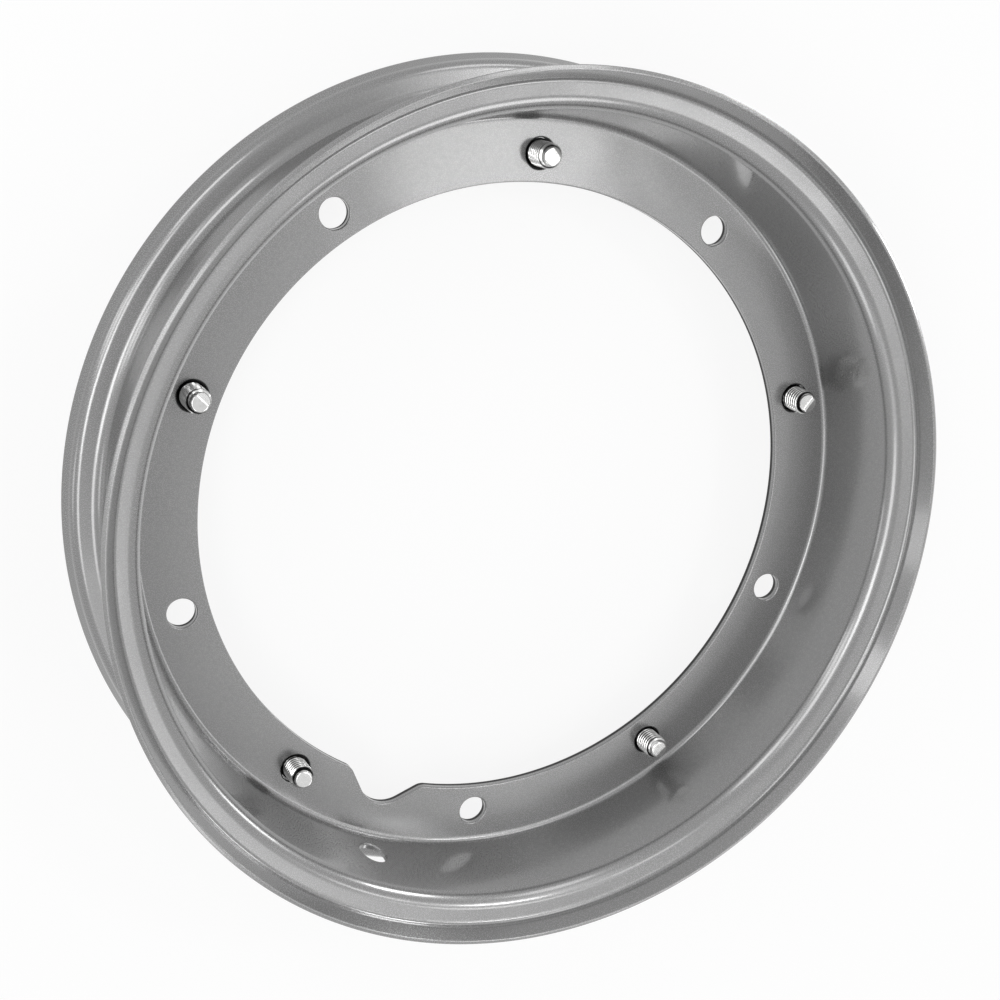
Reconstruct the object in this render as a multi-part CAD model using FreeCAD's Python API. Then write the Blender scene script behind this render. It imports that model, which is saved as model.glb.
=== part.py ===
import FreeCAD, Part
import math
import os

# Split rim of a motor scooter wheel: two pressed steel halves, back to back on their flat webs, and five studs.
# The rim lies on the lip of its shallow half, with the wheel's axis along +Z and the valve at -Y.
# The origin is on the axis, in the plane of that lip. All sizes are in mm.

# Sheet that both halves are pressed from.
sheet = 1.75

# Web: the flat ring that the two halves meet on.
opening_diameter = 202.4
bolt_circle_inset = 8.8
bolt_count = 5
hub_hole_diameter = 9.5
punched_edge_round = 0.5

# Wall between the web and the flange. Its outer side is the tyre's bead seat.
flange_root_inset = 15.9
wall_taper_deg = 8.4
web_bend_radius = 2.0
root_bend_radius = 6.0

# Flange, which holds the tyre's bead. Its outer part turns away from the tyre in a groove and flares out to the lip.
# Widths are along the sheet, from bend to bend, and tilts are from the plane of the web.
flange_width = 8.6
flange_tilt_deg = 11.0
groove_width = 1.75
groove_tilt_deg = 76.0
groove_bend_radius = 1.8
lip_tilt_deg = 61.0
lip_bend_radius = 4.0
lip_edge_round = 0.45

# Depth of each half, from the plane where the halves meet to the corner between its wall and its flange,
# and the width of its lip. The shallow half's lip is trimmed a little narrower.
deep_half_depth = 33.85
deep_lip_width = 5.3
shallow_half_depth = 14.2
shallow_lip_width = 3.8

# Notch through both webs that lets the valve out, and the valve hole in the deep half's wall.
notch_offset_deg = 0.8
notch_flank_deg = 45.0
notch_root_radius = 10.0
notch_depth = 8.5
notch_shoulder_radius = 5.0
valve_hole_diameter = 9.8
valve_hole_height = 11.0

# Studs, pressed into the shallow half from behind. The thread's crests are taken as a plain cylinder.
stud_diameter = 8.0
stud_hole_clearance = 2.4
stud_reach = 9.2
stud_point_diameter = 5.6
stud_point_length = 1.8
stud_point_chamfer = 0.7
stud_shoulder_diameter = 9.0
stud_press_gap = 0.02
stud_head_diameter = 14.0
stud_head_thickness = 2.5
stud_head_chamfer = 0.5

# Angles round the axis. The valve's side is -Y, midway between a hub hole and a stud.
valve_side_deg = -90.0
pitch_deg = 360.0 / bolt_count
hub_hole_angles = [valve_side_deg + pitch_deg / 4 + k * pitch_deg for k in range(bolt_count)]
stud_angles = [valve_side_deg - pitch_deg / 4 + k * pitch_deg for k in range(bolt_count)]
notch_deg = valve_side_deg - notch_offset_deg

# Radii of the web's rings, each from the one inside it.
opening_radius = opening_diameter / 2
bolt_circle_radius = opening_radius + bolt_circle_inset
flange_root_radius = bolt_circle_radius + flange_root_inset

# Direction of each straight stretch of a half's section, from the axis outwards.
wall_angle = math.radians(90 - wall_taper_deg)
flange_angle = math.radians(flange_tilt_deg)
groove_angle = math.radians(groove_tilt_deg)
lip_angle = math.radians(lip_tilt_deg)

# Height of each lip's rounded edge over the corner between wall and flange.
flare_rise = flange_width * math.sin(flange_angle) + groove_width * math.sin(groove_angle)
edge_drop = lip_edge_round * (math.sin(lip_angle) + math.cos(lip_angle) - 1)
deep_rise = flare_rise + deep_lip_width * math.sin(lip_angle) - edge_drop
shallow_rise = flare_rise + shallow_lip_width * math.sin(lip_angle) - edge_drop

# Heights above the floor.
parting_height = shallow_half_depth + shallow_rise
web_top = parting_height + sheet
web_bottom = parting_height - sheet

# Length of a punch that goes right through both webs, and a wall, with room at each end.
punch_length = 6 * sheet

origin = FreeCAD.Vector(0, 0, 0)
up = FreeCAD.Vector(0, 0, 1)


def upright(radius, height):
    """Point of a section in the plane through the axis."""
    return FreeCAD.Vector(radius, 0, height)


def flat(x, y):
    """Point of an outline that lies flat."""
    return FreeCAD.Vector(x, y, 0)


def onward(point, angle, distance):
    """Point reached from another one by going a distance in a direction."""
    return (point[0] + distance * math.cos(angle), point[1] + distance * math.sin(angle))


def side_copy(points, distance):
    """Copy a line of corner points at a distance to its left, with the corners mitred."""
    normals = []
    for (x0, y0), (x1, y1) in zip(points, points[1:]):
        length = math.hypot(x1 - x0, y1 - y0)
        normals.append(((y0 - y1) / length, (x1 - x0) / length))
    moved = []
    for i, (x, y) in enumerate(points):
        ax, ay = normals[max(i - 1, 0)]
        bx, by = normals[min(i, len(normals) - 1)]
        stretch = distance / (1 + ax * bx + ay * by)
        moved.append((x + stretch * (ax + bx), y + stretch * (ay + by)))
    return moved


def rounded_outline(points, radii, place):
    """Closed wire through corner points, with an arc at each corner whose radius isn't zero."""
    starts, ends, arcs = [], [], []
    for i, radius in enumerate(radii):
        corner = place(*points[i])
        before = (place(*points[i - 1]) - corner).normalize()
        after = (place(*points[(i + 1) % len(points)]) - corner).normalize()
        half = before.getAngle(after) / 2
        reach = radius / math.tan(half)
        starts.append(corner + before * reach)
        ends.append(corner + after * reach)
        middle = (before + after).normalize() * (radius / math.sin(half) - radius)
        arcs.append(Part.Arc(starts[i], corner + middle, ends[i]).toShape() if radius else None)
    edges = []
    for i, arc in enumerate(arcs):
        if arc:
            edges.append(arc)
        edges.append(Part.LineSegment(ends[i], starts[(i + 1) % len(points)]).toShape())
    return Part.Wire(edges)


def turned(section):
    """Solid that a section makes in a full turn about the axis."""
    solid = section.revolve(origin, up, 360)
    return Part.Solid(solid) if solid.ShapeType == "Shell" else solid


def half_section(depth, lip_width):
    """Section of a half of the given depth and lip, standing on the plane where the halves meet."""
    root = (flange_root_radius, depth)
    foot = (flange_root_radius - (depth - sheet) / math.tan(wall_angle), sheet)
    groove = onward(root, flange_angle, flange_width)
    flare = onward(groove, groove_angle, groove_width)
    lip = onward(flare, lip_angle, lip_width)
    seen_side = [(opening_radius - sheet, sheet), foot, root, groove, flare, lip]
    seen_radii = [0, web_bend_radius, root_bend_radius, groove_bend_radius, lip_bend_radius, lip_edge_round]
    tyre_radii = [
        0,
        web_bend_radius + sheet,
        root_bend_radius - sheet,
        groove_bend_radius + sheet,
        lip_bend_radius - sheet,
        lip_edge_round,
    ]
    points = seen_side + side_copy(seen_side, -sheet)[::-1]
    return Part.Face(rounded_outline(points, seen_radii + tyre_radii[::-1], upright))


def is_shoulder(edge):
    """True for the two upright edges where the notch's flanks leave the round opening."""
    middle = edge.CenterOfMass
    box = edge.BoundBox
    stands = abs(box.ZLength - punch_length) < 0.01 and box.XLength < 0.01
    on_circle = abs(math.hypot(middle.x, middle.y) - opening_radius) < 0.01
    return stands and on_circle and middle.x > 0


def opening_cutter():
    """Punch for the round opening and its notch, through both webs."""
    half_angle = math.radians(90 - notch_flank_deg)
    apex = opening_radius + notch_depth + notch_root_radius * (1 / math.sin(half_angle) - 1)
    back = opening_radius / 2
    spread = (apex - back) * math.tan(half_angle)
    outline = rounded_outline([(back, -spread), (apex, 0), (back, spread)], [0, notch_root_radius, 0], flat)
    notch = Part.Face(outline).extrude(up * punch_length)
    disc = Part.makeCylinder(opening_radius, punch_length)
    disc.rotate(origin, up, 180)
    tool = disc.fuse(notch).removeSplitter()
    tool = tool.makeFillet(notch_shoulder_radius, [edge for edge in tool.Edges if is_shoulder(edge)])
    tool.rotate(origin, up, notch_deg)
    tool.translate(up * (parting_height - punch_length / 2))
    return tool


def web_hole_cutters(angles, diameter):
    """Round punches through both webs, on the bolt circle."""
    cutters = []
    for angle in angles:
        punch = Part.makeCylinder(diameter / 2, punch_length, upright(bolt_circle_radius, -punch_length / 2))
        punch.rotate(origin, up, angle)
        punch.translate(up * parting_height)
        cutters.append(punch)
    return cutters


def valve_hole_cutter():
    """Punch through the deep half's wall, square to the axis, above the notch."""
    start = upright(flange_root_radius - punch_length, web_top + valve_hole_height)
    punch = Part.makeCylinder(valve_hole_diameter / 2, 2 * punch_length, start, FreeCAD.Vector(1, 0, 0))
    punch.rotate(origin, up, notch_deg)
    return punch


def round_punched_edges(half, height):
    """Round the edges of everything punched through the web, on the side at the given height."""
    edges = []
    for face in half.Faces:
        box = face.BoundBox
        if box.ZLength < 0.001 and abs(box.ZMin - height) < 0.001:
            loops = sorted(face.Wires, key=lambda wire: wire.BoundBox.DiagonalLength)
            for loop in loops[:-1]:
                edges.extend(loop.Edges)
    return half.makeFillet(punched_edge_round, edges)


def round_valve_hole(half):
    """Round the valve hole's edge on the drum's side, the closed edge nearest to the axis at the hole's height."""
    height = web_top + valve_hole_height
    rims = []
    for edge in half.Edges:
        box = edge.BoundBox
        around_hole = box.ZMin > web_top and abs(edge.CenterOfMass.z - height) < valve_hole_diameter / 4
        if around_hole and box.DiagonalLength < 2 * valve_hole_diameter:
            rims.append(edge)
    nearest = min(rims, key=lambda edge: math.hypot(edge.CenterOfMass.x, edge.CenterOfMass.y))
    return half.makeFillet(punched_edge_round, [nearest])


def make_deep_half():
    """Half whose drum side is seen in front: it carries the valve hole and lets the studs through."""
    half = turned(half_section(deep_half_depth, deep_lip_width))
    half.translate(up * parting_height)
    cutters = [opening_cutter(), valve_hole_cutter()]
    cutters += web_hole_cutters(hub_hole_angles, hub_hole_diameter)
    cutters += web_hole_cutters(stud_angles, stud_diameter + stud_hole_clearance)
    return round_valve_hole(round_punched_edges(half.cut(cutters), web_top))


def make_shallow_half():
    """Half behind, turned over: it holds the studs by their shoulders."""
    half = turned(half_section(shallow_half_depth, shallow_lip_width))
    half.rotate(origin, FreeCAD.Vector(1, 0, 0), 180)
    half.translate(up * parting_height)
    cutters = [opening_cutter()]
    cutters += web_hole_cutters(hub_hole_angles, hub_hole_diameter)
    cutters += web_hole_cutters(stud_angles, stud_shoulder_diameter)
    return round_punched_edges(half.cut(cutters), web_bottom)


def make_stud(angle):
    """Stud with a flat round head behind the shallow half's web and a pilot point in front."""
    head = stud_head_diameter / 2
    shoulder = stud_shoulder_diameter / 2 - stud_press_gap
    shank = stud_diameter / 2
    point = stud_point_diameter / 2
    tip = web_top + stud_reach
    thread_end = tip - stud_point_length
    head_bottom = web_bottom - stud_head_thickness
    run_out = shank - point
    outline = [
        (0, head_bottom),
        (head - stud_head_chamfer, head_bottom),
        (head, head_bottom + stud_head_chamfer),
        (head, web_bottom),
        (shoulder, web_bottom),
        (shoulder, parting_height),
        (shank, parting_height),
        (shank, thread_end - run_out),
        (point, thread_end),
        (point, tip - stud_point_chamfer),
        (point - stud_point_chamfer, tip),
        (0, tip),
    ]
    stud = turned(Part.Face(rounded_outline(outline, [0] * len(outline), upright)))
    stud.translate(flat(bolt_circle_radius, 0))
    stud.rotate(origin, up, angle)
    return stud


def main():
    os.makedirs("parts", exist_ok=True)
    pieces = {"deep_rim_half": make_deep_half(), "shallow_rim_half": make_shallow_half()}
    for number, angle in enumerate(stud_angles, 1):
        pieces[f"stud_{number}"] = make_stud(angle)
    for name, shape in pieces.items():
        solids = len(shape.Solids)
        print(f"{name}: {solids} solid, {shape.Volume / 1000:.2f} cm3, valid {shape.isValid()}")
        shape.exportStep(f"parts/{name}.step")
    top = parting_height + deep_half_depth + deep_rise
    print(f"rim: {top:.3f} high, with the halves meeting at {parting_height:.3f}")


main()
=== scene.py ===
# %% [markdown]
# # A motor scooter rim, dressed for the camera
# The rim is two rings of pressed steel sheet that meet on their flat webs, with five studs that clamp them
# together. The solids come from the CAD model. This lesson gives them their paint, cuts real threads on the
# studs, sets up a small studio and points a camera at the deep side of the rim. Lengths are in metres
# unless a name ends in mm.

# %% Tools and the CAD model
import math

import bpy
import numpy as np
from mathutils import Matrix, Vector


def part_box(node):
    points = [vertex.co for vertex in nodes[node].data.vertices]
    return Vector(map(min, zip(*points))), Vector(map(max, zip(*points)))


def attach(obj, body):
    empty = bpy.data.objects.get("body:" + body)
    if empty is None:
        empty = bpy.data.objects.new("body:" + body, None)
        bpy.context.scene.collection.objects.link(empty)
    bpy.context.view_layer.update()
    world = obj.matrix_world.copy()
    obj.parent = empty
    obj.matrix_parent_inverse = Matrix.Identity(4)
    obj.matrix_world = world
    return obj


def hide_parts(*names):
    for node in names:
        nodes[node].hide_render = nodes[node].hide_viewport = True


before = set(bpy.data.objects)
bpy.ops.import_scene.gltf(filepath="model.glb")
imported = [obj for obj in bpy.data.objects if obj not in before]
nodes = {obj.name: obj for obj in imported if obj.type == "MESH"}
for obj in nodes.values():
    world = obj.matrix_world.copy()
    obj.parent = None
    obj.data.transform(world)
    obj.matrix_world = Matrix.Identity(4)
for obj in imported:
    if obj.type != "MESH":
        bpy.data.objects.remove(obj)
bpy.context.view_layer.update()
print("CAD nodes:", sorted(nodes))

# %% [markdown]
# Every hex colour in this file is written as a screen shows it. Blender mixes light with linear numbers, so
# one function turns the hex value to linear red, green and blue.


# %% Colours
def linear(hex_code):
    """Linear RGBA of an sRGB hex colour: ((c + 0.055) / 1.055) ** 2.4 per channel, or c / 12.92 if small."""
    channels = [int(hex_code[i : i + 2], 16) / 255 for i in (1, 3, 5)]
    return tuple(c / 12.92 if c <= 0.04045 else ((c + 0.055) / 1.055) ** 2.4 for c in channels) + (1.0,)


print("middle grey #808080 is", round(linear("#808080")[0], 3), "in linear light")

# %% [markdown]
# A material is a graph of nodes. One small function adds a node, sets its fields and its sockets, and links
# what it is given, so that each material below reads as a short list of what the finish is made of.


# %% Adding a node
def add(tree, kind, fields=None, **sockets):
    """Add a node. Fields are its settings, and sockets its inputs by name, _ for a space: value or link."""
    node = tree.nodes.new(kind)
    for name, value in (fields or {}).items():
        setattr(node, name, value)
    for name, value in sockets.items():
        wanted = name.replace("_", " ")
        socket = next(s for s in node.inputs if s.enabled and s.name.lower() == wanted.lower())
        if isinstance(value, bpy.types.NodeSocket):
            tree.links.new(value, socket)
        else:
            socket.default_value = value
    return node


def new_material(name):
    """An empty material, and its tree."""
    material = bpy.data.materials.new(name)
    material.use_nodes = True
    material.node_tree.nodes.clear()
    return material, material.node_tree


# %% [markdown]
# ## The paint
# The rim is pressed from mild steel, primed and sprayed with silver wheel paint. Aluminium flakes lie
# nearly flat in the film, so it shines like rough metal, and the grey pigment between them scatters light
# evenly. The resin over both adds a thin smooth gloss of its own. A base that is part metal and part matt,
# with a clear coat, gives all three.
#
# A photograph of real paint could be wrapped round the rim, but drawn patterns can be any size and repeat
# nowhere. Three of them carry what a sprayer leaves: fine orange peel 1.4 mm across in the clear film, slow
# swells where the wet film sagged, and a faint cloudiness where the flakes settled unevenly. The flakes are
# 0.03 mm across, too fine to show, so they are drawn ten times as coarse.


# %% Silver paint
def silver_paint():
    """Sprayed aluminium-flake paint: rough metal and grey pigment under a smooth clear film."""
    material, tree = new_material("silver_wheel_paint")
    place = add(tree, "ShaderNodeTexCoord").outputs["Object"]
    peel_mm, sag_mm, cloud_mm, flake_mm = 1.4, 26.0, 45.0, 0.3
    peel = add(tree, "ShaderNodeTexNoise", Vector=place, Scale=1000 / peel_mm, Detail=1.0, Roughness=0.4)
    sag = add(tree, "ShaderNodeTexNoise", Vector=place, Scale=1000 / sag_mm, Detail=1.0, Roughness=0.4)
    cloud = add(tree, "ShaderNodeTexNoise", Vector=place, Scale=1000 / cloud_mm, Detail=3.0, Roughness=0.5)
    flake = add(tree, "ShaderNodeTexNoise", Vector=place, Scale=1000 / flake_mm, Detail=0.0)
    thin, thick = linear("#797979"), linear("#818181")
    tint = add(tree, "ShaderNodeMix", {"data_type": "RGBA"}, Factor=cloud.outputs["Fac"], A=thin, B=thick)
    spread = {"From_Min": 0.3, "From_Max": 0.7, "To_Min": 0.245, "To_Max": 0.285}
    grit = add(tree, "ShaderNodeMapRange", Value=flake.outputs["Fac"], **spread)
    swell = add(tree, "ShaderNodeBump", Strength=0.5, Distance=0.0004, Height=sag.outputs["Fac"])
    wet = swell.outputs["Normal"]
    skin = add(tree, "ShaderNodeBump", Strength=0.3, Distance=0.00004, Height=peel.outputs["Fac"], Normal=wet)
    paint = add(
        tree,
        "ShaderNodeBsdfPrincipled",
        Base_Color=tint.outputs["Result"],
        Metallic=0.6,
        Roughness=grit.outputs["Result"],
        Normal=wet,
        Coat_Weight=1.0,
        Coat_Roughness=0.1,
        Coat_Normal=skin.outputs["Normal"],
    )
    add(tree, "ShaderNodeOutputMaterial", Surface=paint.outputs["BSDF"])
    return material


# %% [markdown]
# ## Painted shade in the gaps
# The walls of the shallow half's holes, and the two faces that meet, are painted nearly black and matt:
# painted shade, for the deep shadow in the gaps round the studs. One dark colour would look like a gap in
# the model, so a mottle a millimetre across breaks it up.


# %% Painted shade in the gaps
def painted_shade_material():
    """Painted shade for the gaps round the studs: nearly black, matt and mottled."""
    material, tree = new_material("painted_gap_shade")
    place = add(tree, "ShaderNodeTexCoord").outputs["Object"]
    mottle_mm = 1.1
    mottle = add(tree, "ShaderNodeTexNoise", Vector=place, Scale=1000 / mottle_mm, Detail=3.0, Roughness=0.6)
    # Both colours are painted shade, near black, for the shadow in the gaps round the studs.
    dark, less_dark_shade = linear("#131313"), linear("#2B2B2B")
    tint = add(tree, "ShaderNodeMix", {"data_type": "RGBA"}, Factor=mottle.outputs["Fac"], A=dark, B=less_dark_shade)
    skin = add(tree, "ShaderNodeBump", Strength=0.3, Distance=0.00005, Height=mottle.outputs["Fac"])
    steel = add(
        tree,
        "ShaderNodeBsdfPrincipled",
        Base_Color=tint.outputs["Result"],
        Metallic=0.2,
        Roughness=0.6,
        Normal=skin.outputs["Normal"],
    )
    add(tree, "ShaderNodeOutputMaterial", Surface=steel.outputs["BSDF"])
    return material


paint, painted_shade = silver_paint(), painted_shade_material()
print("finishes of the halves:", paint.name, "and", painted_shade.name)

# %% [markdown]
# ## The two halves
# Each half is a ring blanked from 1.75 mm steel sheet, drawn over a die, punched and trimmed. The CAD model
# has this shape, but its bends are made of a few flat facets each, which a satin finish would show as
# ripples. So both halves are drawn again here from the same sizes, as smooth surfaces. Only the section of
# the sheet is needed: corner points on the side that faces the axis, a copy of them one sheet away, and an
# arc at every corner. It could be spun with a Screw modifier, but a grid of radius, height and angle in
# numpy gives even quads and says exactly what is made.

# %% Sizes of the halves
mm = 0.001
SHEET = 1.75 * mm
OPENING, BOLT_CIRCLE, WALL_ROOT = 101.2 * mm, 110.0 * mm, 125.9 * mm
WALL_TAPER, FLANGE_TILT, GROOVE_TILT, LIP_TILT = (math.radians(a) for a in (8.4, 11.0, 76.0, 61.0))
FLANGE, GROOVE = 8.6 * mm, 1.75 * mm
WEB_BEND, ROOT_BEND, GROOVE_BEND, LIP_BEND, EDGE_ROUND = 2.0 * mm, 6.0 * mm, 1.8 * mm, 4.0 * mm, 0.45 * mm
DEEP, SHALLOW = (33.85 * mm, 5.3 * mm), (14.2 * mm, 3.8 * mm)
NOTCH_TURN, NOTCH_SLOPE = math.radians(-90.8), math.pi / 4
NOTCH_DEPTH, NOTCH_ROOT, NOTCH_SHOULDER = 8.5 * mm, 10 * mm, 5 * mm
HUB_HOLE, STUD_CLEARANCE, STUD_SEAT, VALVE_HOLE = 4.75 * mm, 4.8 * mm, 4.5 * mm, 4.9 * mm
VALVE_HEIGHT, PRESS_ROUND = 11 * mm, 0.5 * mm
HOLES, STEP, FIRST_HUB_HOLE, FIRST_STUD = 5, math.radians(72), math.radians(-72), math.radians(-108)


# %% The section of the sheet
def rounded(corners, radii):
    """Closed outline with an arc at each corner, centred on its halving line at radius / sin(half angle)."""
    outline = []
    for i, radius in enumerate(radii):
        before, after = corners[i - 1] - corners[i], corners[(i + 1) % len(corners)] - corners[i]
        before, after = before / np.linalg.norm(before), after / np.linalg.norm(after)
        half = math.acos(before @ after) / 2
        centre = corners[i] + (before + after) / np.linalg.norm(before + after) * radius / math.sin(half)
        x, y = corners[i] + before * radius / math.tan(half) - centre
        sweep = math.copysign(math.pi - 2 * half, before[1] * after[0] - before[0] * after[1])
        t = np.linspace(0, sweep, int(abs(sweep) / math.radians(6)) + 1) if radius else np.zeros(1)
        outline.append(centre + np.stack([x * np.cos(t) - y * np.sin(t), x * np.sin(t) + y * np.cos(t)], -1))
    return np.concatenate(outline)


def half_outline(depth, lip_width):
    """Section (radius, height over the parting plane): the near side, and a mitred copy one sheet away."""
    stretches = [(math.pi / 2 - WALL_TAPER, (depth - SHEET) / math.cos(WALL_TAPER)), (FLANGE_TILT, FLANGE)]
    stretches += [(GROOVE_TILT, GROOVE), (LIP_TILT, lip_width)]
    steps = np.array([(length * math.cos(angle), length * math.sin(angle)) for angle, length in stretches])
    foot = np.array([WALL_ROOT - (depth - SHEET) * math.tan(WALL_TAPER), SHEET])
    near = np.vstack([[OPENING - SHEET, SHEET], foot, foot + np.cumsum(steps, 0)])
    ahead = np.diff(near, axis=0)
    ahead /= np.linalg.norm(ahead, axis=1)[:, None]
    left = np.stack([-ahead[:, 1], ahead[:, 0]], -1)
    before, after = np.vstack([left[:1], left]), np.vstack([left, left[-1:]])
    far = near - SHEET * (before + after) / (1 + (before * after).sum(1))[:, None]
    near_radii = [0, WEB_BEND, ROOT_BEND, GROOVE_BEND, LIP_BEND, EDGE_ROUND]
    far_radii = [0, WEB_BEND + SHEET, ROOT_BEND - SHEET, GROOVE_BEND + SHEET, LIP_BEND - SHEET, EDGE_ROUND]
    return rounded(np.vstack([near, far[::-1]]), near_radii + far_radii[::-1])[::-1]


def turned(outline, around=480):
    """Mesh of x = r cos u, y = r sin u, z = h, for each point (r, h) of a closed outline and each angle u."""
    u = np.linspace(0, 2 * np.pi, around, endpoint=False)[:, None]
    r, h = outline[:, 0], outline[:, 1]
    points = np.stack([r * np.cos(u), r * np.sin(u), h + 0 * u], -1).reshape(-1, 3)
    n = len(outline)
    i, j = np.arange(around)[:, None], np.arange(n)[None, :]
    i_next, j_next = (i + 1) % around, (j + 1) % n
    quads = np.stack([i * n + j, i_next * n + j, i_next * n + j_next, i * n + j_next], -1).reshape(-1, 4)
    mesh = bpy.data.meshes.new("turned")
    mesh.from_pydata(points.tolist(), [], quads.tolist())
    return mesh


print("points round the deep half's section:", len(half_outline(*DEEP)))

# %% [markdown]
# The press rounds one edge of everything it punches, and burrs the other. A cutter with a flare at its
# mouth leaves that rounded edge when it is subtracted. All cutters are surfaces of two parameters: the
# angle round the hole, and the way along it, on which the outline is pushed outwards by the flare.


# %% Cutters
def closed_surface(name, x, y, z):
    """Mesh of a grid that is closed round its first axis, with each end of the second drawn to one point."""
    around, along = x.shape
    rings = np.stack([x, y, z], -1).reshape(-1, 3)
    ends = np.array([[x[:, k].mean(), y[:, k].mean(), z[:, k].mean()] for k in (0, -1)])
    i = np.arange(around)[:, None]
    j = np.arange(along - 1)[None, :]
    after = (i + 1) % around
    corners = [i * along + j, after * along + j, after * along + j + 1, i * along + j + 1]
    quads = np.stack(corners, -1).reshape(-1, 4)
    first, last = len(rings), len(rings) + 1
    i, after = i[:, 0], after[:, 0]
    bottom = np.stack([after * along, i * along, np.full(around, first)], -1)
    top = np.stack([i * along + along - 1, after * along + along - 1, np.full(around, last)], -1)
    mesh = bpy.data.meshes.new(name)
    mesh.from_pydata(np.vstack([rings, ends]).tolist(), [], quads.tolist() + bottom.tolist() + top.tolist())
    return mesh


def flare(rounding=PRESS_ROUND):
    """Way along a cutter from the face it leaves, and its push outwards: a quarter arc, then straight."""
    q = np.radians([0, 15, 30, 45, 60, 72, 80])
    along = np.concatenate([[-4 * mm], rounding * (np.sin(q) - 1), [0.01 * mm, 3 * mm]])
    out = rounding * (1 - np.cos(q))
    mouth = out[-1] + (0.01 * mm - along[-3]) * math.tan(q[-1])
    return along, np.concatenate([[0], out, [mouth, mouth]])


def hole_cutter(angle, radius):
    """Cutter for a round hole on the bolt circle: (x, y) = centre + (radius + flare) * (cos t, sin t)."""
    along, out = flare()
    t = np.linspace(0, 2 * np.pi, 64, endpoint=False)[:, None]
    x = BOLT_CIRCLE * math.cos(angle) + (radius + out) * np.cos(t)
    y = BOLT_CIRCLE * math.sin(angle) + (radius + out) * np.sin(t)
    return closed_surface("hole", x, y, SHEET + along + 0 * t)


def opening_cutter(turn):
    """Cutter for the opening: its circle, two shoulder arcs, sloping flanks and the notch's root arc."""
    root, shoulder, slope = NOTCH_ROOT, NOTCH_SHOULDER, NOTCH_SLOPE
    apex = OPENING + NOTCH_DEPTH + root * (1 / math.sin(slope) - 1)
    s, reach = apex + shoulder * math.sqrt(2), OPENING + shoulder
    x = (s + math.sqrt(2 * reach**2 - s**2)) / 2
    lean = math.atan2(s - x, x)
    t = np.linspace(0, slope, 12)
    bottom = np.array([apex - root / math.sin(slope), 0]) + root * np.stack([np.cos(t), np.sin(t)], -1)
    t = np.linspace(math.pi + slope, math.pi + lean, 12)
    corner = np.array([x, s - x]) + shoulder * np.stack([np.cos(t), np.sin(t)], -1)
    t = np.linspace(lean, 2 * math.pi - lean, 480)[1:-1]
    circle = OPENING * np.stack([np.cos(t), np.sin(t)], -1)
    mirrored = np.vstack([bottom[1:], corner])[::-1] * (1, -1)
    outline = np.vstack([bottom, corner, circle, mirrored])
    side = np.roll(outline, -1, 0) - np.roll(outline, 1, 0)
    normal = np.stack([side[:, 1], -side[:, 0]], -1) / np.linalg.norm(side, axis=1)[:, None]
    along, out = flare()
    x = outline[:, :1] + normal[:, :1] * out
    y = outline[:, 1:] + normal[:, 1:] * out
    c, s = math.cos(turn), math.sin(turn)
    return closed_surface("opening", x * c - y * s, x * s + y * c, SHEET + along + 0 * x)


def valve_cutter():
    """Cutter through the deep wall. Its mouth follows the cone: x = sqrt(cone(z) ** 2 - y ** 2)."""
    along, out = flare()
    t = np.linspace(0, 2 * np.pi, 96, endpoint=False)[:, None]
    y, z = (VALVE_HOLE + out) * np.cos(t), SHEET + VALVE_HEIGHT + (VALVE_HOLE + out) * np.sin(t)
    cone = WALL_ROOT - (DEEP[0] - z) * math.tan(WALL_TAPER)
    x = (np.sqrt(cone**2 - y**2) - along)[:, ::-1]
    y, z = y[:, ::-1], z[:, ::-1]
    c, s = math.cos(NOTCH_TURN), math.sin(NOTCH_TURN)
    return closed_surface("valve_hole", x * c - y * s, x * s + y * c, z)


# %% Punched halves
def applied(piece):
    """Replace a piece's mesh by what its modifiers make of it."""
    evaluated = piece.evaluated_get(bpy.context.evaluated_depsgraph_get())
    mesh = bpy.data.meshes.new_from_object(evaluated)
    piece.modifiers.clear()
    piece.data = mesh


def punched_half(name, depth_and_lip, stud_hole, turned_over, extra):
    """A half with its holes punched, stood on the parting plane, and turned over for the one behind."""
    side = -1 if turned_over else 1
    cutters = [opening_cutter(side * NOTCH_TURN)] + extra
    for k in range(HOLES):
        cutters.append(hole_cutter(side * (FIRST_HUB_HOLE + STEP * k), HUB_HOLE))
        cutters.append(hole_cutter(side * (FIRST_STUD + STEP * k), stud_hole))
    piece = bpy.data.objects.new(name, turned(half_outline(*depth_and_lip)))
    bpy.context.collection.objects.link(piece)
    tools = [bpy.data.objects.new("cutter", mesh) for mesh in cutters]
    for tool in tools:
        bpy.context.collection.objects.link(tool)
        cut = piece.modifiers.new("punch", "BOOLEAN")
        cut.operation, cut.solver, cut.object = "DIFFERENCE", "MANIFOLD", tool
    applied(piece)
    for tool in tools:
        bpy.data.objects.remove(tool)
    flip = Matrix.Rotation(math.pi if turned_over else 0, 4, "X")
    piece.data.transform(Matrix.Translation((0, 0, PARTING)) @ flip)
    piece.data.polygons.foreach_set("use_smooth", np.ones(len(piece.data.polygons), dtype=bool))
    piece.data.set_sharp_from_angle(angle=math.radians(30))
    weighted = piece.modifiers.new("even shading on flats", "WEIGHTED_NORMAL")
    weighted.keep_sharp = True
    applied(piece)
    return piece


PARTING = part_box("deep_rim_half")[0][2]
halves = {
    "deep_rim_half": punched_half("smooth_deep_half", DEEP, STUD_CLEARANCE, False, [valve_cutter()]),
    "shallow_rim_half": punched_half("smooth_shallow_half", SHALLOW, STUD_SEAT, True, []),
}
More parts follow.
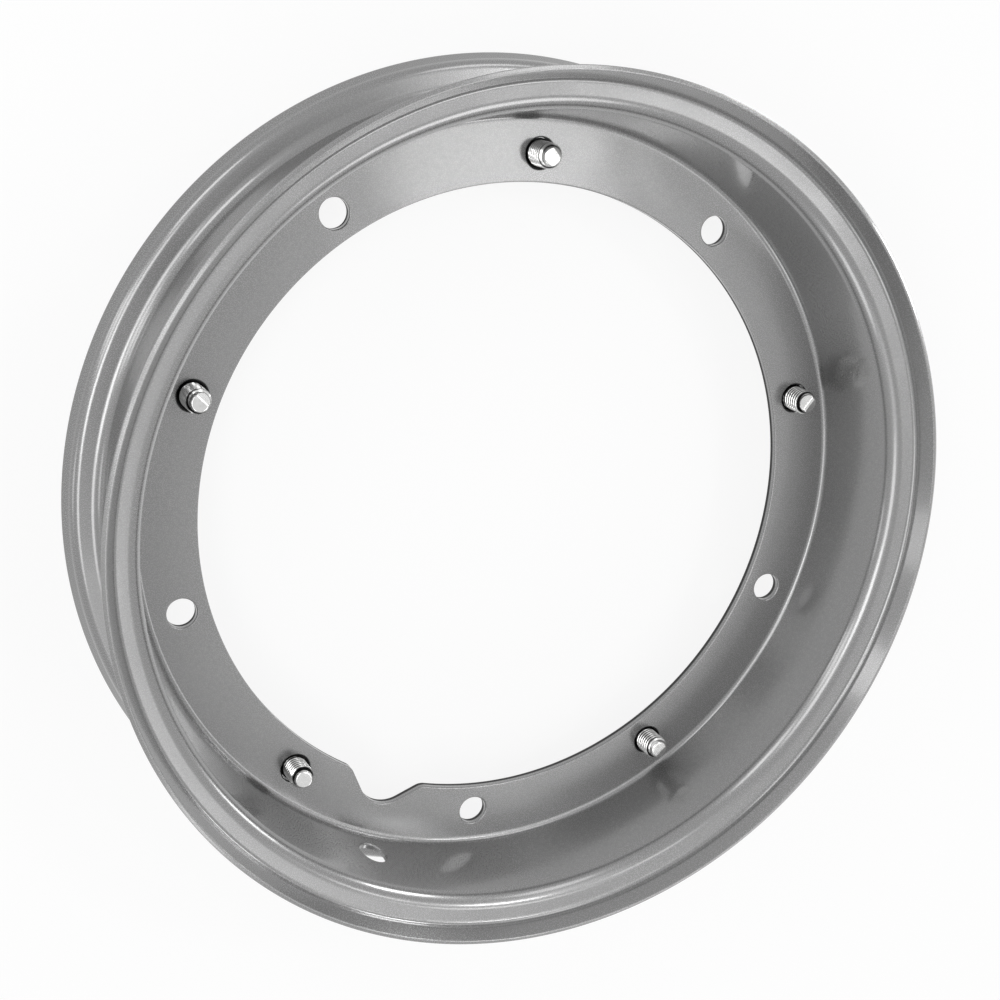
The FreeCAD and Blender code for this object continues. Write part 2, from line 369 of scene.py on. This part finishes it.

# %% [markdown]
# Which faces get the painted shade follows from where they are and which way they look, so each face is asked
# for its middle and its normal. Inside the web's bend, the upright faces of the shallow half are its punched
# walls.
# The faces that lie in the parting plane are the ones where the halves meet. Both are painted dark as shade.

# %% Paint and painted shade on the halves
WEB_EDGE, UPRIGHT, TOUCHING = 116 * mm, 0.3, 0.01 * mm
for node, piece in halves.items():
    piece.data.materials.clear()
    piece.data.materials.append(paint)
    piece.data.materials.append(painted_shade)
    faces = len(piece.data.polygons)
    middle, normal = np.empty(3 * faces), np.empty(3 * faces)
    piece.data.polygons.foreach_get("center", middle)
    piece.data.polygons.foreach_get("normal", normal)
    middle, normal = middle.reshape(-1, 3), normal.reshape(-1, 3)
    in_web = np.hypot(middle[:, 0], middle[:, 1]) < WEB_EDGE
    punched = in_web & (np.abs(normal[:, 2]) < UPRIGHT) & (node == "shallow_rim_half")
    meeting = in_web & (np.abs(middle[:, 2] - PARTING) < TOUCHING)
    # Slot 1, the near-black painted shade, goes on the shallow half's punched walls and on the faces where
    # the halves meet.
    piece.data.polygons.foreach_set("material_index", (punched | meeting).astype(np.int32))
    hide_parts(node)
    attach(piece, "root")
    print(piece.name, "has", faces, "faces, of which", int((punched | meeting).sum()), "are bare")

# %% [markdown]
# ## The studs
# Each stud is cold-headed steel with a rolled M8 thread and bright zinc plating. A thread is one groove
# that climbs 1.25 mm in each turn, so it can't be spun from a fixed outline. It could be cut with a swept
# cutter, but a surface of two parameters is shorter and cleaner: at height z and angle u the radius is the
# bolt's, less a groove whose place depends on z / pitch - u / (one turn). Past the last thread the stud
# narrows to a plain point, whose end was cropped in the header, and that leaves a small slanted facet
# across it.

# %% Sizes of a stud
PITCH, CREST, ROOT = 1.25 * mm, 4.0 * mm, 3.25 * mm
HEAD, HEAD_THICK, SHOULDER = 7.0 * mm, 2.5 * mm, 4.48 * mm
POINT, POINT_LENGTH = 3.0 * mm, 1.8 * mm
RUN_OUT_SLOPE, FACET_SLOPE, FACET_ZONE = 1.6, 0.42, 1.0 * mm
TOOTH_TOP, TOOTH_FLANK = 0.90, 0.75
lowest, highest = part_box("stud_1")
head_low, tip = lowest[2], highest[2]
web_bottom = head_low + HEAD_THICK
web_top = web_bottom + 2 * SHEET
thread_start, thread_end = web_bottom + SHEET, tip - POINT_LENGTH
print("stud from", round(head_low * 1000, 2), "to", round(tip * 1000, 2), "mm")


# %% One stud as a surface
def stud_outline():
    """Heights and plain radii up the stud: head, shoulder, shank, run-out, chamfered point, end centre."""
    steps = int((thread_end - thread_start) / PITCH * 16)
    shank = np.linspace(thread_start, thread_end, steps)
    shank_r = np.minimum(CREST, POINT + RUN_OUT_SLOPE * (thread_end - shank))
    corners = [
        (head_low, HEAD - 1.5 * mm),
        (head_low, HEAD - 0.6 * mm),
        (head_low + 0.1 * mm, HEAD - 0.3 * mm),
        (head_low + 0.6 * mm, HEAD),
        (web_bottom - 0.3 * mm, HEAD),
        (web_bottom, HEAD - 0.2 * mm),
        (web_bottom, SHOULDER),
        (thread_start - 0.1 * mm, SHOULDER),
    ]
    chamfer = [(0.6 * mm, 0), (0.3 * mm, 0.1 * mm), (0.1 * mm, 0.3 * mm), (0, 0.5 * mm)]
    ends = [(tip - down, POINT - inward) for down, inward in chamfer]
    ends += [(tip, 0.1 * mm * k) for k in range(23, 1, -3)]
    low, top = np.array(corners), np.array(ends)
    z = np.concatenate([low[:, 0], shank, top[:, 0]])
    r = np.concatenate([low[:, 1], shank_r, top[:, 1]])
    return z, r


def stud_points(turn, facing, reach, sides):
    """Points of a stud, and how clear each one stands of the thread's roots and of the web, for painted
    shade.

    Radius r(u, z) = the smaller of the plain radius and root + (crest - root) * ridge, where ridge is a tooth
    of the phase z / pitch - u / 2 pi. Past a line at a given reach from the stud's axis the end slants down.
    """
    around = 96
    z, plain = stud_outline()
    u = np.linspace(0, 2 * np.pi, around, endpoint=False)[:, None]
    phase = (z[None, :] / PITCH - (u - turn) / (2 * np.pi)) % 1.0
    ridge = np.clip((TOOTH_TOP - np.abs(2 * phase - 1)) / TOOTH_FLANK, 0, 1)
    threaded = (z > thread_start - 0.001 * mm) & (z < thread_end + 0.001 * mm)
    clear = np.clip((z[None, :] - thread_start) / SHEET, 0, 1) + 0 * u
    r = np.where(threaded[None, :], np.minimum(plain[None, :], ROOT + (CREST - ROOT) * ridge), plain[None, :])
    x, y = r * np.cos(u), r * np.sin(u)
    across = x * math.cos(facing) + y * math.sin(facing)
    across = np.abs(across) if sides == 2 else across
    slant = tip - FACET_SLOPE * np.clip(across - reach, 0, None)
    height = np.repeat(z[None, :], around, 0)
    height = np.where(height > tip - FACET_ZONE, np.minimum(height, slant), height)
    return x, y, height, np.where(threaded[None, :], ridge * clear, clear)


# %% [markdown]
# ## The plating
# Bright zinc over rolled steel is nearly a mirror of neutral grey. The roots of the thread and the foot of
# the stud are painted near black, as painted shade where the grooves and the web would shade them. That
# follows the thread and not a pattern in space, so it comes from a value stored on each point of the mesh.
# Stains some
# 2.5 mm across dull the rest a little, and a fine grain breaks up the glints. Elsewhere the base is a plain
# metal, so its brightness comes from what it mirrors.


# %% Bright zinc
def bright_zinc():
    """Bright zinc plating on a rolled steel thread, with painted shade in its roots and at its foot."""
    material, tree = new_material("bright_zinc_plate")
    place = add(tree, "ShaderNodeTexCoord").outputs["Object"]
    stain = add(tree, "ShaderNodeTexNoise", Vector=place, Scale=1000 / 2.5, Detail=4.0, Roughness=0.6)
    grain = add(tree, "ShaderNodeTexNoise", Vector=place, Scale=1000 / 0.35, Detail=2.0)
    # The near-black colour is painted shade in the thread's roots and at the stud's foot.
    dull, clean, painted_root_shade = linear("#A6A6A4"), linear("#E9E9E9"), linear("#0C0C0C")
    plate = add(tree, "ShaderNodeMix", {"data_type": "RGBA"}, Factor=stain.outputs["Fac"], A=dull, B=clean)
    painted_shade_mask = add(tree, "ShaderNodeAttribute", {"attribute_name": "painted_shade_mask"})
    out_of_shade = add(tree, "ShaderNodeMapRange", Value=painted_shade_mask.outputs["Fac"], From_Min=0.45, From_Max=0.95)
    both = {"A": painted_root_shade, "B": plate.outputs["Result"]}
    tint = add(tree, "ShaderNodeMix", {"data_type": "RGBA"}, Factor=out_of_shade.outputs["Result"], **both)
    gloss = {"From_Min": 0.3, "From_Max": 0.7, "To_Min": 0.22, "To_Max": 0.12}
    wear = add(tree, "ShaderNodeMapRange", Value=stain.outputs["Fac"], **gloss)
    skin = add(tree, "ShaderNodeBump", Strength=0.1, Distance=0.00003, Height=grain.outputs["Fac"])
    zinc = add(
        tree,
        "ShaderNodeBsdfPrincipled",
        Base_Color=tint.outputs["Result"],
        Metallic=1.0,
        Roughness=wear.outputs["Result"],
        Normal=skin.outputs["Normal"],
    )
    add(tree, "ShaderNodeOutputMaterial", Surface=zinc.outputs["BSDF"])
    return material


zinc = bright_zinc()

# %% [markdown]
# The five studs stand on one circle, 72 degrees apart. Each was turned by chance when it was pressed in, so
# each has its own start of thread and its own cropped facet.

# %% Five studs in their places
# Each stud: where its thread starts and which way its facet faces, in degrees, how far the facet is from the
# axis, and whether the end is cropped on one side or on two.
stud_ends = [
    (200.0, 0.0, 3.0 * mm, 1),
    (35.0, -26.0, 1.1 * mm, 1),
    (305.0, -18.0, 0.6 * mm, 2),
    (110.0, 59.0, 1.6 * mm, 1),
    (20.0, 66.0, 0.9 * mm, 1),
]
for number, (turn, facing, reach, sides) in enumerate(stud_ends, 1):
    angle = FIRST_STUD + STEP * (number - 1)
    x, y, z, clear = stud_points(math.radians(turn), math.radians(facing), reach, sides)
    x, y = x + BOLT_CIRCLE * math.cos(angle), y + BOLT_CIRCLE * math.sin(angle)
    mesh = closed_surface(f"threaded_stud_{number}", x, y, z)
    mesh.polygons.foreach_set("use_smooth", np.ones(len(mesh.polygons), dtype=bool))
    mesh.set_sharp_from_angle(angle=math.radians(28))
    # The stored value is 0 where the painted shade is darkest, in the thread's roots and at the foot, and 1
    # clear of both.
    painted_shade_mask = mesh.attributes.new("painted_shade_mask", "FLOAT", "POINT")
    painted_shade_mask.data.foreach_set("value", np.append(clear.ravel(), [1.0, 1.0]))
    piece = bpy.data.objects.new(mesh.name, mesh)
    bpy.context.collection.objects.link(piece)
    piece.data.materials.append(zinc)
    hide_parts(f"stud_{number}")
    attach(piece, "root")
print("studs:", number, "with", len(piece.data.polygons), "faces each")

# %% [markdown]
# ## The studio
# The rim lies on a wide pale floor. The camera sees the floor as white paper would look in a bright studio,
# and so do the mirror-like surfaces. A share of plain white paper in the same mix keeps the rim's soft
# shadow.


# %% Rays that should see white
def seen_directly(tree):
    """Socket that is 1 for rays from the camera, off a mirror or through glass, and 0 for the rest."""
    ray = add(tree, "ShaderNodeLightPath")
    seen = ray.outputs["Is Camera Ray"]
    for kind in ("Is Glossy Ray", "Is Transmission Ray"):
        either = add(tree, "ShaderNodeMath", {"operation": "MAXIMUM"})
        tree.links.new(seen, either.inputs[0])
        tree.links.new(ray.outputs[kind], either.inputs[1])
        seen = either.outputs[0]
    return seen


# %% Floor
def paper(white_share=0.88):
    """White studio paper: plain white to the camera and to mirrors, mixed with a share that takes shadow."""
    material, tree = new_material("white_studio_paper")
    white = add(tree, "ShaderNodeEmission", Color=(1, 1, 1, 1), Strength=1.0)
    matt = add(tree, "ShaderNodeBsdfDiffuse", Color=linear("#E6E6E6"))
    share = add(tree, "ShaderNodeMapRange", Value=seen_directly(tree), To_Max=white_share)
    mix = add(tree, "ShaderNodeMixShader")
    tree.links.new(share.outputs["Result"], mix.inputs[0])
    tree.links.new(matt.outputs[0], mix.inputs[1])
    tree.links.new(white.outputs[0], mix.inputs[2])
    add(tree, "ShaderNodeOutputMaterial", Surface=mix.outputs[0])
    return material


FLOOR = 20.0
floor_mesh = bpy.data.meshes.new("studio_floor")
floor_corners = [(-FLOOR, -FLOOR, 0), (FLOOR, -FLOOR, 0), (FLOOR, FLOOR, 0), (-FLOOR, FLOOR, 0)]
floor_mesh.from_pydata(floor_corners, [], [(0, 1, 2, 3)])
floor = bpy.data.objects.new("studio_floor", floor_mesh)
bpy.context.collection.objects.link(floor)
floor_mesh.materials.append(paper())
print("floor:", 2 * FLOOR, "m square")

# %% [markdown]
# A satin finish shows the studio that surrounds it. So the rim stands in a room that mirrors and the camera
# see as plain white, and that lights matt surfaces softly. The lamps are placed by what the rim mirrors:
# large soft ones for tone, and a few smaller ones for the bright lines along its bends.


# %% Lamps
LAMP_DISTANCE, RIM_MIDDLE = 1.5, Vector((0, 0, 0.03))


def softbox(name, azimuth, elevation, width, energy):
    """A round lamp that faces the rim. Azimuth turns from +x towards +y, elevation rises from the floor."""
    data = bpy.data.lights.new(name, "AREA")
    data.shape = "DISK"
    data.size = width
    data.energy = energy
    lamp = bpy.data.objects.new(name, data)
    turn, rise = math.radians(azimuth), math.radians(elevation)
    toward = Vector((math.cos(rise) * math.cos(turn), math.cos(rise) * math.sin(turn), math.sin(rise)))
    place = Matrix.Translation(RIM_MIDDLE + toward * LAMP_DISTANCE)
    lamp.matrix_world = place @ toward.to_track_quat("Z", "Y").to_matrix().to_4x4()
    bpy.context.collection.objects.link(lamp)


# Name, azimuth and elevation in degrees, width in metres, power in watts.
lamps = [
    ("left", 180, 30, 0.5, 2.06),
    ("left_back", 150, 30, 0.5, 2.30),
    ("left_low", 180, 8, 0.35, 1.06),
    ("left_front_low", 210, 8, 0.35, 0.67),
    ("left_high", 200, 54, 0.5, 3.41),
    ("left_back_high", 170, 54, 0.5, 2.10),
    ("front", 270, 30, 0.5, 1.84),
    ("front_high", 260, 54, 0.5, 0.62),
    ("front_left_high", 230, 54, 0.5, 1.95),
    ("right_front", 330, 30, 0.5, 2.40),
    ("right_line", 336, 58, 0.25, 0.65),
    ("right_glint", 352, 58, 0.25, 0.20),
    ("right_low", 30, 8, 0.35, 2.32),
    ("right_high", 15, 66, 0.25, 0.69),
    ("right_back", 35, 50, 0.25, 0.65),
    ("back_right_high", 56, 58, 0.25, 1.97),
    ("over_back", 60, 74, 0.25, 0.52),
    ("back_low", 60, 8, 0.35, 4.66),
    ("back", 90, 30, 0.5, 1.78),
    ("back_high", 80, 54, 0.5, 0.67),
]
for name, azimuth, elevation, width, energy in lamps:
    softbox(name, azimuth, elevation, width, energy)
print("lamps:", len(lamps))

# %% [markdown]
# The room's air is white to the eye and in mirrors. Rays that only light matt surfaces meet 0.4 of that,
# because the lamps already give them the rest.

# %% Room
AIR_LIGHT = 0.4
world = bpy.data.worlds.new("studio_air")
world.use_nodes = True
room = world.node_tree
air = add(room, "ShaderNodeMapRange", Value=seen_directly(room), To_Min=AIR_LIGHT, To_Max=1.0)
room.nodes["Background"].inputs["Color"].default_value = (1, 1, 1, 1)
room.links.new(air.outputs["Result"], room.nodes["Background"].inputs["Strength"])
bpy.context.scene.world = world
print("light of the air on matt surfaces:", AIR_LIGHT)

# %% [markdown]
# ## The camera
# The picture looks down on the deep half, about 30 degrees off the axis, with the rim a little low and left
# of the lens's centre, which the shift allows. The three directions below are the picture's right, down and
# forward.

# %% Camera
right = Vector((0.84121194, 0.37313001, 0.39133471))
ahead = Vector((0.47396083, -0.16051848, -0.86576653)).normalized()
right = (right - ahead * right.dot(ahead)).normalized()
down = ahead.cross(right)
eye = Vector((-0.27980287, 0.07124542, web_top + 0.51387482))
data = bpy.data.cameras.new("camera")
data.sensor_fit = "HORIZONTAL"
data.sensor_width = 36.0
data.lens = 65.68
data.shift_x = 0.01902
data.shift_y = 0.06927
data.clip_start = 0.01
camera = bpy.data.objects.new("camera", data)
camera.matrix_world = Matrix([(right[k], -down[k], -ahead[k], eye[k]) for k in range(3)] + [(0, 0, 0, 1)])
bpy.context.collection.objects.link(camera)
bpy.context.scene.camera = camera
bpy.context.scene.view_settings.view_transform = "Standard"
print("camera:", round(eye.length, 3), "m from the rim's centre")
